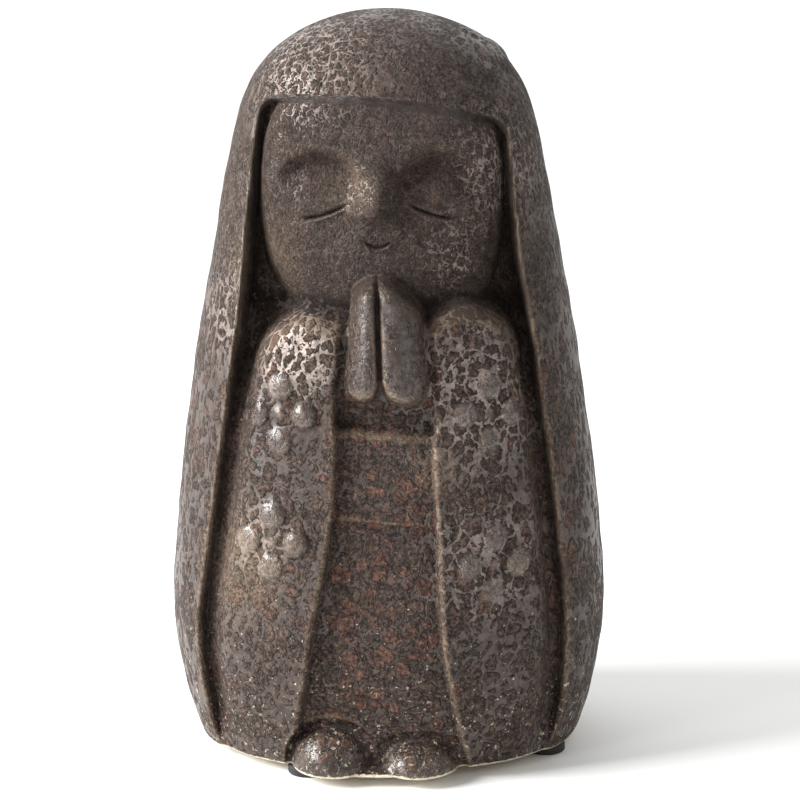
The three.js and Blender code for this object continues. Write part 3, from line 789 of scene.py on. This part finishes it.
def add_attribute(mesh, name, values):
    """Keep one number for each point of a mesh, with nothing on the two end points."""
    attribute = mesh.attributes.new(name, "FLOAT", "POINT")
    attribute.data.foreach_set("value", np.concatenate([values.ravel(), [0, 0]]).astype(np.float32))


def add_piece(name, mesh, material, slot, *nodes):
    """Place a piece at the origin, in its material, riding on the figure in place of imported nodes."""
    mesh.materials.append(material)
    piece = bpy.data.objects.new(name, mesh)
    bpy.context.scene.collection.objects.link(piece)
    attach(piece, "root")
    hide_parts(*nodes)
    return piece


class Shader:
    """Node tree of one material, with short calls for the nodes that the finishes use."""

    def __init__(self, name):
        self.material = bpy.data.materials.new(name)
        self.material.use_nodes = True
        self.tree = self.material.node_tree
        self.tree.nodes.clear()
        output = self.tree.nodes.new("ShaderNodeOutputMaterial")
        self.surface = self.tree.nodes.new("ShaderNodeBsdfPrincipled")
        self.tree.links.new(self.surface.outputs["BSDF"], output.inputs["Surface"])
        coordinates = self.tree.nodes.new("ShaderNodeTexCoord")
        self.place = self.vector("SCALE", coordinates.outputs["Object"], 1 / MM)

    def set(self, socket, value):
        """Link a socket to a node's output, or give it a plain number, vector or colour."""
        if isinstance(value, bpy.types.NodeSocket):
            self.tree.links.new(value, socket)
        elif socket.type == "RGBA":
            socket.default_value = (*value, 1)
        else:
            socket.default_value = value

    def node(self, kind, out, choices, inputs):
        """Add a node, set its choices and inputs, and give back one output."""
        made = self.tree.nodes.new(kind)
        for key, value in choices.items():
            setattr(made, key, value)
        for key, value in inputs.items():
            self.set(made.inputs[key], value)
        return made.outputs[out]

    def math(self, operation, *values):
        """One sum of numbers."""
        return self.node("ShaderNodeMath", 0, {"operation": operation}, dict(enumerate(values)))

    def vector(self, operation, first, second):
        """One sum of two vectors, or of a vector and a scale."""
        key = "Scale" if operation == "SCALE" else 1
        return self.node("ShaderNodeVectorMath", 0, {"operation": operation}, {0: first, key: second})

    def shifted(self, *offset):
        """Place on the object moved by an offset, for a pattern of its own."""
        return self.vector("ADD", self.place, offset)

    def ease(self, value, low, high):
        """Smooth share of the way from low to high."""
        inputs = {"Value": value, "From Min": low, "From Max": high}
        return self.node("ShaderNodeMapRange", "Result", {"interpolation_type": "SMOOTHSTEP"}, inputs)

    def flip(self, share):
        """One less a share."""
        return self.math("SUBTRACT", 1.0, share)

    def both(self, first, second):
        """Product of two shares."""
        return self.math("MULTIPLY", first, second)

    def either(self, first, second):
        """Higher of two shares."""
        return self.math("MAXIMUM", first, second)

    def blend(self, share, first, second, mode="MIX"):
        """Blend of two colours by a share."""
        choices = {"data_type": "RGBA", "blend_type": mode}
        return self.node("ShaderNodeMix", 2, choices, {0: share, 6: first, 7: second})

    def toned(self, colour, factor):
        """A colour made lighter or darker by a factor."""
        return self.blend(1.0, colour, factor, "MULTIPLY")

    def number(self, share, first, second):
        """Blend of two numbers by a share."""
        return self.node("ShaderNodeMix", 0, {"data_type": "FLOAT"}, {0: share, 2: first, 3: second})

    def noise(self, place, scale, detail=2.0, rough=0.5, out="Fac"):
        """Cloudy noise with a number of waves in each millimetre."""
        inputs = {"Vector": place, "Scale": scale, "Detail": detail, "Roughness": rough}
        return self.node("ShaderNodeTexNoise", out, {}, inputs)

    def cells(self, place, scale, feature, out):
        """Cracked cells with a number of cells in each millimetre."""
        inputs = {"Vector": place, "Scale": scale}
        return self.node("ShaderNodeTexVoronoi", out, {"feature": feature}, inputs)

    def near(self, x, z, reach):
        """Share that fades out at a reach from a place on the mantle's front."""
        centre = (x, -float(mantle(x, z)), z)
        choices = {"operation": "DISTANCE"}
        apart = self.node("ShaderNodeVectorMath", "Value", choices, {0: self.place, 1: centre})
        return self.flip(self.ease(apart, *(share * reach for share in PLACE_SPAN)))

    def gathered(self, places):
        """Highest share of several places, each with its reach and strength."""
        share = 0.0
        for x, z, reach, strength in places:
            share = self.either(share, self.both(self.near(x, z, reach), strength))
        return share

    def axis(self, index):
        """One of the three distances of the place on the object."""
        return self.node("ShaderNodeSeparateXYZ", index, {}, {0: self.place})

    def attribute(self, name):
        """A number kept on the mesh's points."""
        return self.node("ShaderNodeAttribute", "Fac", {"attribute_name": name}, {})


def glaze_zones(s):
    """Parts of the figure that the glaze follows: shares by place, and numbers kept on the mesh."""
    height = s.axis(2)
    hair_part = s.attribute("hair")
    head = s.ease(height, *HEAD_SPAN)
    beside = s.ease(s.math("ABSOLUTE", s.axis(0)), *SKIRT_SPAN)
    hollow = s.ease(s.both(s.attribute("hollow"), -1.0), *HOLLOW_SPAN)
    crease = s.ease(s.both(s.attribute("edge"), -1.0), *CREASE_SPAN)
    return SimpleNamespace(
        height=height,
        hair=hair_part,
        head=head,
        face=s.both(head, s.flip(hair_part)),
        off_skirt=s.either(beside, s.ease(height, SASH_TOP, HAND_BOTTOM)),
        raised=s.ease(s.attribute("edge"), *EDGE_SPAN),
        # Creases and hollows: they carry the painted shade and the matt roughness there
        sunk=s.either(crease, hollow),
        glassy=s.attribute("glassy"),
        pool=s.gathered(GLOSS_AND_HIGHLIGHT_POOLS),
        # Worn places, partly painted light on the lit left side
        worn=s.gathered(WORN_AND_LIT),
    )


def glaze_patterns(s, zones, finish):
    """Cells drawn down the figure with frayed edges, a number picked for each, and the clouds over them."""
    down = s.number(zones.hair, *DRAWN)
    drawn = s.vector("MULTIPLY", s.place, s.node("ShaderNodeCombineXYZ", 0, {}, {0: 1.0, 1: 1.0, 2: down}))
    sway = s.vector("SUBTRACT", s.noise(s.place, SWAY_SCALE, *SWAY_NOISE, "Color"), (0.5, 0.5, 0.5))
    warped = s.vector("ADD", drawn, s.vector("SCALE", sway, SWAY_REACH))
    per_mm = MM / finish.cell_size
    gap = s.number(
        zones.head,
        s.cells(warped, per_mm, "DISTANCE_TO_EDGE", "Distance"),
        s.cells(warped, HEAD_CELLS * per_mm, "DISTANCE_TO_EDGE", "Distance"),
    )
    fray = s.noise(drawn, FRAY_SCALE, *SOFT_NOISE)
    grain_scale = s.number(zones.face, *GRAIN_SCALES)
    grain = s.noise(s.shifted(*GRAIN_SHIFT), grain_scale, *CRISP_NOISE)
    return SimpleNamespace(
        gap=s.math("MULTIPLY_ADD", s.math("SUBTRACT", fray, 0.5), FRAY_REACH, gap),
        pick=s.node("ShaderNodeSeparateColor", 0, {}, {0: s.cells(warped, per_mm, "F1", "Color")}),
        cloud=s.ease(s.noise(s.shifted(*CLOUD_SHIFT), CLOUD_SCALE, *SOFT_NOISE), *CLOUD_SPAN),
        mottle=s.ease(s.noise(s.shifted(*MOTTLE_SHIFT), MOTTLE_SCALE, *MOTTLE_NOISE), *MOTTLE_SPAN),
        seed=s.noise(s.shifted(*SPECK_SHIFT), SPECK_SCALE, *CRISP_NOISE),
        fray=fray,
        grain=grain,
        speckle=s.ease(grain, *SPECKLE_SPAN),
    )


def glaze_film(s, zones, patterns):
    """Smooth film between the cells, wide under the cloud and narrow in pools, and the cells' rims."""
    cover = s.both(patterns.cloud, s.number(zones.off_skirt, SKIRT_COVER, 1.0))
    cover = s.both(cover, s.number(zones.face, 1.0, FACE_COVER))
    width = s.number(s.ease(zones.pool, *POOL_SPAN), s.number(cover, 0.0, FILM_WIDE), POOL_WIDE)
    inside = s.math("SUBTRACT", patterns.gap, width)
    film = s.either(s.flip(s.ease(inside, *FILM_SPAN)), s.both(zones.glassy, GLASSY_FILM))
    rim = s.both(s.flip(s.ease(inside, *RIM_SPAN)), s.flip(film))
    return film, rim


def glaze_colour(s, zones, patterns, film, rim, finish):
    """Brown and rust cells with dark rims, under film painted paler in the pools as a highlight, all
    speckled and mottled.
    """
    plain = s.math("ADD", s.both(zones.off_skirt, PLAIN_OFF_SKIRT), s.both(zones.head, PLAIN_HEAD))
    rusty = s.ease(s.math("SUBTRACT", patterns.pick, plain), *RUST_SPAN)
    cell = s.blend(rusty, finish.brown, finish.rust)
    cell = s.blend(s.both(rim, s.number(zones.face, *RIM_SHARES)), cell, finish.dark)
    tones = [s.number(zones.face, *pair) for pair in zip(CELL_TONES, FACE_TONES)]
    cell = s.toned(cell, s.number(patterns.speckle, *tones))
    # Paler veins in the pools: glossy glaze, with a painted highlight where light glints
    glass = s.blend(zones.pool, finish.film, finish.pale_highlight)
    glass = s.toned(glass, s.number(patterns.speckle, *FILM_TONES))
    colour = s.toned(s.blend(film, cell, glass), s.number(zones.glassy, 1.0, GLASSY_TONE))
    return s.toned(colour, s.number(patterns.mottle, *MOTTLE_TONES))


def glaze_wear(s, zones, patterns, colour, bare, finish):
    """Sandy tan over edges and worn places, also painted light on the lit left side; painted shade
    darkening grooves and hollows; clay specks and the bare rim.
    """
    sandy = s.number(s.ease(patterns.grain, *SANDY_SPAN), *SANDY_SHARES)
    raised = s.both(zones.raised, s.number(zones.face, sandy, SANDY_FACE))
    colour = s.blend(raised, colour, finish.broken_and_lit)
    # Tan patches: worn glaze, and painted light on the nose's left flank and the collar
    worn = s.both(zones.worn, s.number(patterns.speckle, *WORN_SHARES))
    colour = s.blend(worn, colour, finish.broken_and_lit)
    # Painted shade: grooves and hollows darkened where shade falls
    colour = s.blend(s.both(zones.sunk, GROOVE_SHADE_SHARE), colour, finish.groove)
    low = s.flip(s.ease(zones.height, BASE_Z, SPECK_TOP))
    speck = s.ease(s.math("MULTIPLY_ADD", low, SPECK_GAIN, patterns.seed), *SPECK_SPAN)
    colour = s.blend(s.both(speck, SPECK_SHARE), colour, finish.clay)
    return s.blend(bare, colour, finish.clay)


def glaze_material(finish):
    """Mottled stoneware glaze: rough brown and rust cells with dark rims in a smooth film."""
    s = Shader("mottled_glaze")
    zones = glaze_zones(s)
    patterns = glaze_patterns(s, zones, finish)
    film, rim = glaze_film(s, zones, patterns)
    bare = s.flip(s.ease(s.math("SUBTRACT", zones.height, patterns.fray), *BARE_SPAN))
    colour = glaze_colour(s, zones, patterns, film, rim, finish)
    colour = glaze_wear(s, zones, patterns, colour, bare, finish)

    sleek = s.either(film, zones.glassy)
    sheen = s.number(s.either(zones.pool, zones.glassy), finish.film_roughness, finish.vein_roughness)
    rough = s.number(sleek, finish.matt_roughness, sheen)
    shine = s.number(zones.glassy, s.number(film, *SHINES), GLASSY_SHINE)
    lumps = s.both(patterns.grain, s.number(sleek, *LUMPS))
    lumps = s.math("MULTIPLY_ADD", s.math("SUBTRACT", film, rim), LUMP_STEP, lumps)
    inputs = {"Height": lumps, "Distance": LUMP_DEPTH * MM, "Strength": 1.0}
    s.set(s.surface.inputs["Base Color"], colour)
    s.set(s.surface.inputs["Roughness"], s.number(s.either(zones.sunk, bare), rough, BARE_ROUGHNESS))
    s.set(s.surface.inputs["Specular IOR Level"], shine)
    s.set(s.surface.inputs["Normal"], s.node("ShaderNodeBump", 0, {}, inputs))
    return s.material


def rubber_material(finish):
    """Matt black rubber: a faint cloudy bloom over a fine moulded grain."""
    s = Shader("pad_rubber")
    bloom = s.ease(s.noise(s.place, BLOOM_SCALE, 3.0), *BLOOM_SPAN)
    grain = s.noise(s.place, RUBBER_GRAIN)
    s.set(s.surface.inputs["Base Color"], s.blend(bloom, finish.rubber, finish.bloom))
    s.set(s.surface.inputs["Roughness"], s.number(grain, *RUBBER_ROUGHNESS))
    inputs = {"Height": grain, "Distance": RUBBER_DEPTH * MM, "Strength": 0.5}
    s.set(s.surface.inputs["Normal"], s.node("ShaderNodeBump", 0, {}, inputs))
    return s.material


def floor_material(stage):
    """Pale studio floor: an even tone with a barely seen cloud."""
    s = Shader("studio_floor")
    cloud = s.noise(s.place, FLOOR_SCALE)
    shade = tuple(FLOOR_SHADE * tone for tone in stage.floor_colour)
    s.set(s.surface.inputs["Base Color"], s.blend(cloud, shade, stage.floor_colour))
    s.set(s.surface.inputs["Roughness"], FLOOR_ROUGHNESS)
    return s.material


def pad_grid(low, high, edge):
    """Turned pad: a flat disc between two heights whose profile has quarter-round edges."""
    centre = (low + high) / 2
    radius = (high.x - low.x) / 2
    bends = np.linspace(0, math.pi / 2, PAD_EDGE_ROWS)
    reach = radius - edge * (1 - np.cos(bends))
    rise = (high.z - low.z) / 2 - edge * (1 - np.sin(bends))
    profile = np.concatenate([reach[::-1], reach])
    heights = np.concatenate([-rise[::-1], rise]) + centre.z
    turns = np.linspace(0, 2 * math.pi, PAD_COLUMNS, endpoint=False)
    x = centre.x + profile[:, None] * np.cos(turns)
    y = centre.y + profile[:, None] * np.sin(turns)
    return np.stack([x, y, heights[:, None] + 0 * x]) / MM


def add_floor(stage):
    """Flat square floor under the pads."""
    half = FLOOR_HALF
    corners = [(-half, -half, 0), (half, -half, 0), (half, half, 0), (-half, half, 0)]
    mesh = bpy.data.meshes.new("studio_floor")
    mesh.from_pydata(corners, [], [(0, 1, 2, 3)])
    mesh.materials.append(floor_material(stage))
    floor = bpy.data.objects.new("studio_floor", mesh)
    bpy.context.scene.collection.objects.link(floor)


def add_sky(stage):
    """Even white light from all round."""
    world = bpy.data.worlds.new("studio_sky")
    world.use_nodes = True
    sky = world.node_tree.nodes["Background"]
    sky.inputs["Color"].default_value = (1, 1, 1, 1)
    sky.inputs["Strength"].default_value = stage.sky
    bpy.context.scene.world = world
    bpy.context.scene.view_settings.view_transform = "Standard"


def add_light(name, power, place, target, size):
    """Square soft light at a place, facing a target."""
    light = bpy.data.lights.new(name, "AREA")
    light.energy = power
    light.size = size
    lamp = bpy.data.objects.new(name, light)
    lamp.location = place
    lamp.rotation_euler = (target - Vector(place)).to_track_quat("-Z", "Y").to_euler()
    bpy.context.scene.collection.objects.link(lamp)


def add_camera(stage):
    """Camera in front of the figure, a little above its head and looking down."""
    camera = bpy.data.cameras.new("camera")
    camera.lens = stage.lens
    turn = Matrix.Rotation(stage.camera_turn, 4, "Z")
    pitch = Matrix.Rotation(math.pi / 2 - stage.camera_pitch, 4, "X")
    roll = Matrix.Rotation(stage.camera_roll, 4, "Z")
    place = Matrix.Translation(Vector(CAMERA_PLACE) * MM)
    view = bpy.data.objects.new("camera", camera)
    view.matrix_world = turn @ place @ pitch @ roll
    bpy.context.scene.collection.objects.link(view)
    bpy.context.scene.camera = view


class FigureSizes(bpy.types.PropertyGroup):
    """Sizes of the carving that a maker would change."""

    line_depth: FloatProperty(
        name="Face line depth",
        description="Depth of the eye lines and the smile",
        default=1.2 * MM,
        unit="LENGTH",
    )
    palm_groove: FloatProperty(
        name="Palm groove",
        description="Depth of the groove between the palms",
        default=1.8 * MM,
        unit="LENGTH",
    )
    petal_rise: FloatProperty(
        name="Petal rise",
        description="Height of the petals on the robe",
        default=2.0 * MM,
        unit="LENGTH",
    )
    hair_petal_rise: FloatProperty(
        name="Hair petal rise",
        description="Height of the petals pinned in the hair",
        default=0.9 * MM,
        unit="LENGTH",
    )
    unevenness: FloatProperty(
        name="Unevenness",
        description="Height of the slow waves left by hand work",
        default=0.35 * MM,
        unit="LENGTH",
    )


class GlazeFinish(bpy.types.PropertyGroup):
    """Colours and scale of the glaze."""

    cell_size: FloatProperty(
        name="Cell size",
        description="Width of the matt cells",
        default=3.6 * MM,
        unit="LENGTH",
    )
    matt_roughness: FloatProperty(
        name="Matt roughness",
        description="Roughness of the cells",
        default=0.62,
        subtype="FACTOR",
    )
    film_roughness: FloatProperty(
        name="Film roughness",
        description="Roughness of the smooth film between the cells",
        default=0.38,
        subtype="FACTOR",
    )
    vein_roughness: FloatProperty(
        name="Vein roughness",
        description="Roughness of the glassy veins",
        default=0.2,
        subtype="FACTOR",
    )
    film: FloatVectorProperty(
        name="Film",
        description="Smooth film between the cells",
        default=linear(64, 53, 48),
        subtype="COLOR",
    )
    # Pool veins: paler glaze and a painted highlight where light glints
    pale_highlight: FloatVectorProperty(
        name="Pools",
        description="Paler veins where the glaze has run together",
        default=linear(146, 133, 125),
        subtype="COLOR",
    )
    brown: FloatVectorProperty(
        name="Brown cells",
        description="Plain cells",
        default=linear(70, 57, 50),
        subtype="COLOR",
    )
    rust: FloatVectorProperty(
        name="Rust cells",
        description="Rusty cells",
        default=linear(82, 59, 50),
        subtype="COLOR",
    )
    dark: FloatVectorProperty(
        name="Rims",
        description="Dark rims of the cells",
        default=linear(34, 27, 24),
        subtype="COLOR",
    )
    # Painted shade for grooves and hollows
    groove: FloatVectorProperty(
        name="Grooves",
        description="Glaze gathered in grooves",
        default=linear(18, 14, 12),
        subtype="COLOR",
    )
    # Tan of edges and worn places, also used as painted light on the lit left side
    broken_and_lit: FloatVectorProperty(
        name="Broken edges",
        description="Thin glaze over edges and worn places",
        default=linear(124, 106, 88),
        subtype="COLOR",
    )
    clay: FloatVectorProperty(
        name="Bare clay",
        description="Unglazed rim and specks",
        default=linear(214, 202, 178),
        subtype="COLOR",
    )


class PadFinish(bpy.types.PropertyGroup):
    """Edge and colours of the pads."""

    edge_round: FloatProperty(
        name="Edge", description="Rounding of the pads' edges", default=0.7 * MM, unit="LENGTH"
    )
    rubber: FloatVectorProperty(
        name="Rubber", description="Black rubber", default=linear(24, 24, 26), subtype="COLOR"
    )
    bloom: FloatVectorProperty(
        name="Bloom",
        description="Paler bloom on the rubber",
        default=linear(40, 40, 43),
        subtype="COLOR",
    )


class StageSettings(bpy.types.PropertyGroup):
    """Floor, lights and camera."""

    floor_colour: FloatVectorProperty(
        name="Floor", description="Pale floor", default=linear(240, 240, 238), subtype="COLOR"
    )
    sky: FloatProperty(name="Sky", description="Strength of the even white light", default=0.3)
    key: FloatProperty(
        name="Key light",
        description="Power of the light at the left",
        default=35.0,
        unit="POWER",
    )
    rim: FloatProperty(
        name="Rim light",
        description="Power of the light at the right",
        default=2.0,
        unit="POWER",
    )
    glint: FloatProperty(
        name="Glint light",
        description="Power of the small light in front",
        default=2.2,
        unit="POWER",
    )
    back: FloatProperty(
        name="Back light",
        description="Power of the light over the floor behind",
        default=420.0,
        unit="POWER",
    )
    camera_turn: FloatProperty(
        name="Camera turn",
        description="Turn of the camera round the figure",
        default=math.radians(2.5),
        subtype="ANGLE",
    )
    camera_pitch: FloatProperty(
        name="Camera pitch",
        description="How far the camera looks down",
        default=math.radians(11),
        subtype="ANGLE",
    )
    camera_roll: FloatProperty(
        name="Camera roll", description="Lean of the camera", default=-0.006, subtype="ANGLE"
    )
    lens: FloatProperty(name="Lens", description="Focal length", default=108.0, unit="CAMERA")


class FIGURINE_OT_figure(bpy.types.Operator):
    """Make the glazed figure"""

    bl_idname = "figurine.figure"
    bl_label = "Figure"

    def execute(self, context):
        sizes = context.scene.figurine_sizes
        carving = SimpleNamespace(**{key: getattr(sizes, key) / MM for key in sizes.__annotations__})
        grid = figure_grid(carving)
        mesh = closed_mesh("glazed_figure", grid, (0, 0, BASE_Z), (0, 0, HEIGHT))
        normals = grid_normals(grid)
        front = np.arange(grid.shape[2]) < FRONT_COLUMNS
        share = np.abs(grid[0]) / np.maximum(half_width(grid[2]), TINY)
        carved = front * smooth((1 - share) / FLANK_FADE)
        add_attribute(mesh, "edge", proud(grid, normals, *EDGE_WINDOW) * carved)
        add_attribute(mesh, "hollow", proud(grid, normals, *HOLLOW_WINDOW) * carved)
        add_attribute(mesh, "hair", np.where(front, hair_share(grid[0], grid[2]), 1))
        add_attribute(mesh, "glassy", glassy_share(grid[0], grid[2], carving) * front)
        material = glaze_material(context.scene.figurine_glaze)
        add_piece("glazed_figure", mesh, material, "glaze", "figure")
        return {"FINISHED"}


class FIGURINE_OT_pads(bpy.types.Operator):
    """Make the rubber pads under the base"""

    bl_idname = "figurine.pads"
    bl_label = "Pads"

    def execute(self, context):
        finish = context.scene.figurine_pads
        material = rubber_material(finish)
        for name in PAD_NAMES:
            low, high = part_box(name)
            grid = pad_grid(low, high, finish.edge_round)
            centre = (low + high) / 2 / MM
            ends = [(centre.x, centre.y, z / MM) for z in (low.z, high.z)]
            mesh = closed_mesh("rubber_" + name, grid, *ends)
            add_piece("rubber_" + name, mesh, material, "pad_rubber", name)
        return {"FINISHED"}


class FIGURINE_OT_stage(bpy.types.Operator):
    """Make the floor, the lights and the camera"""

    bl_idname = "figurine.stage"
    bl_label = "Stage"

    def execute(self, context):
        stage = context.scene.figurine_stage
        add_floor(stage)
        add_sky(stage)
        middle = Vector((0, 0, FIGURE_HIGH.z / 2))
        add_light("key", stage.key, KEY_PLACE, middle, KEY_SIZE)
        add_light("rim", stage.rim, RIM_PLACE, middle, KEY_SIZE)
        add_light("glint", stage.glint, GLINT_PLACE, middle, GLINT_SIZE)
        add_light("back", stage.back, BACK_PLACE, Vector((0, BACK_PLACE[1], 0)), BACK_SIZE)
        add_camera(stage)
        return {"FINISHED"}


class FIGURINE_PT_panel(bpy.types.Panel):
    """Steps that build the figurine"""

    bl_idname = "FIGURINE_PT_panel"
    bl_label = "Figurine"
    bl_space_type = "VIEW_3D"
    bl_region_type = "UI"
    bl_category = "Figurine"

    def draw(self, context):
        for operator in OPERATORS:
            self.layout.operator(operator.bl_idname)
        for key in SETTINGS:
            group = getattr(context.scene, key)
            for name in group.__annotations__:
                self.layout.prop(group, name)


OPERATORS = (FIGURINE_OT_figure, FIGURINE_OT_pads, FIGURINE_OT_stage)
SETTINGS = {
    "figurine_sizes": FigureSizes,
    "figurine_glaze": GlazeFinish,
    "figurine_pads": PadFinish,
    "figurine_stage": StageSettings,
}
CLASSES = (*SETTINGS.values(), *OPERATORS, FIGURINE_PT_panel)


def register():
    """Add the settings, the operators and the panel."""
    for kind in CLASSES:
        bpy.utils.register_class(kind)
    for key, kind in SETTINGS.items():
        setattr(bpy.types.Scene, key, PointerProperty(type=kind))


def unregister():
    """Take the settings, the operators and the panel away again."""
    for key in SETTINGS:
        delattr(bpy.types.Scene, key)
    for kind in reversed(CLASSES):
        bpy.utils.unregister_class(kind)


def main():
    """Build the figurine on its stage."""
    register()
    bpy.ops.figurine.stage()
    bpy.ops.figurine.figure()
    bpy.ops.figurine.pads()


if __name__ == "__main__":
    main()
